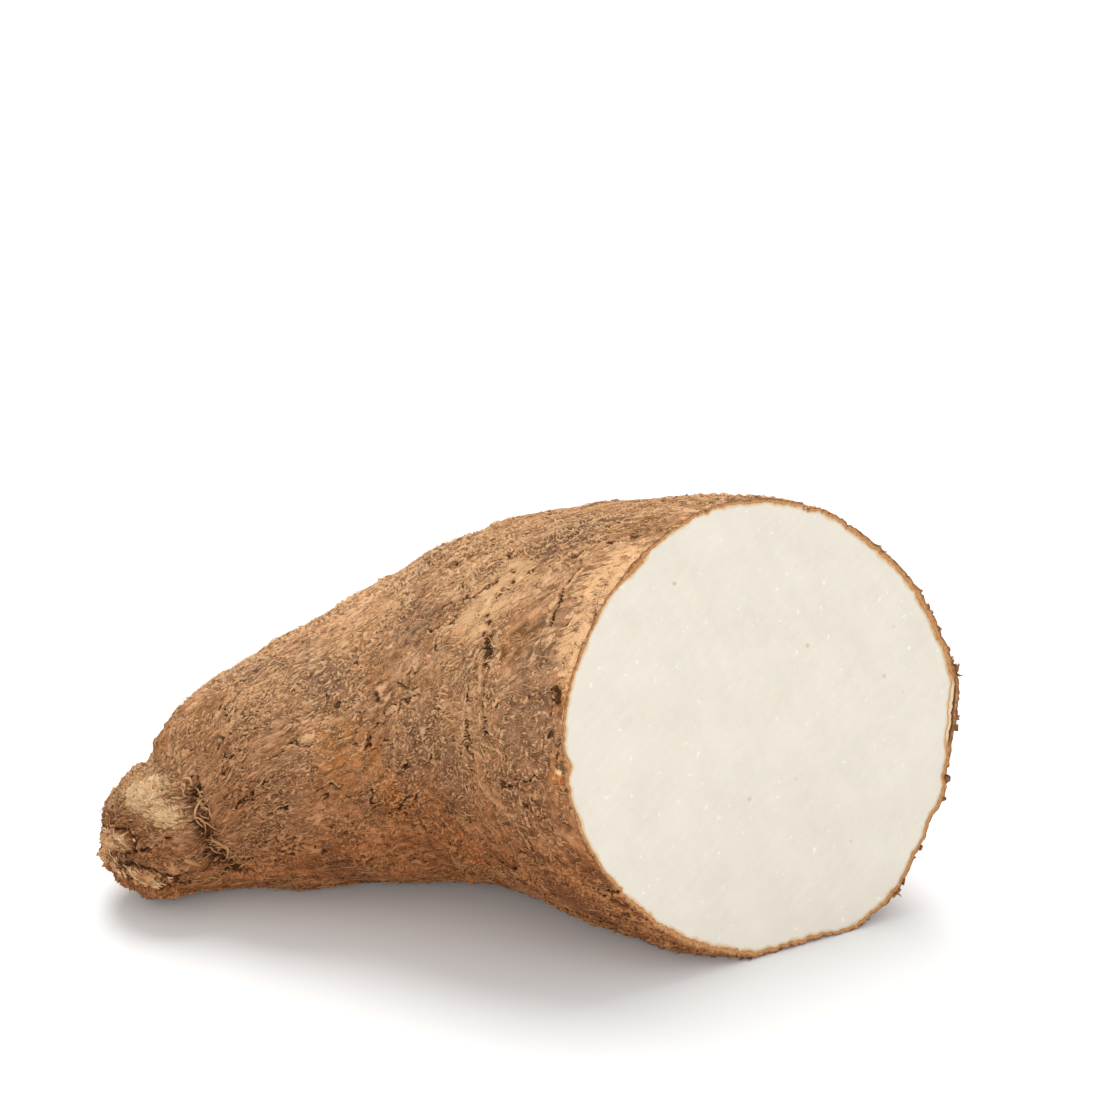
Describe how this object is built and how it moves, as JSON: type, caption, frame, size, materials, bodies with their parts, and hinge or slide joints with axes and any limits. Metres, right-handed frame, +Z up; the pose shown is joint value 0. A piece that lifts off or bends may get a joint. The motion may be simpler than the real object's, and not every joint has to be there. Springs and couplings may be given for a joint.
{
  "type": "white yam, cut half",
  "caption": "Crown half of a white yam lying on its side: rough brown bark, a tapering bent body, a woody crown stub and a flat cut of cream flesh.",
  "frame": {"origin": "on the surface that the half lies on, under the middle of its outline", "axes": "+Z up, +X along its length from the woody crown to the cut; the cut face looks to +X, -Y and a little up"},
  "size_m": [0.2232, 0.1032, 0.1095],
  "materials": {
    "bark": "dry corky tuber bark, fibrous and flaking, matte tan brown",
    "flesh": "raw starchy flesh, freshly cut, cream white with a faint moist sheen"
  },
  "bodies": {
    "root": {"yam_half": "bark"}
  },
  "joints": []
}
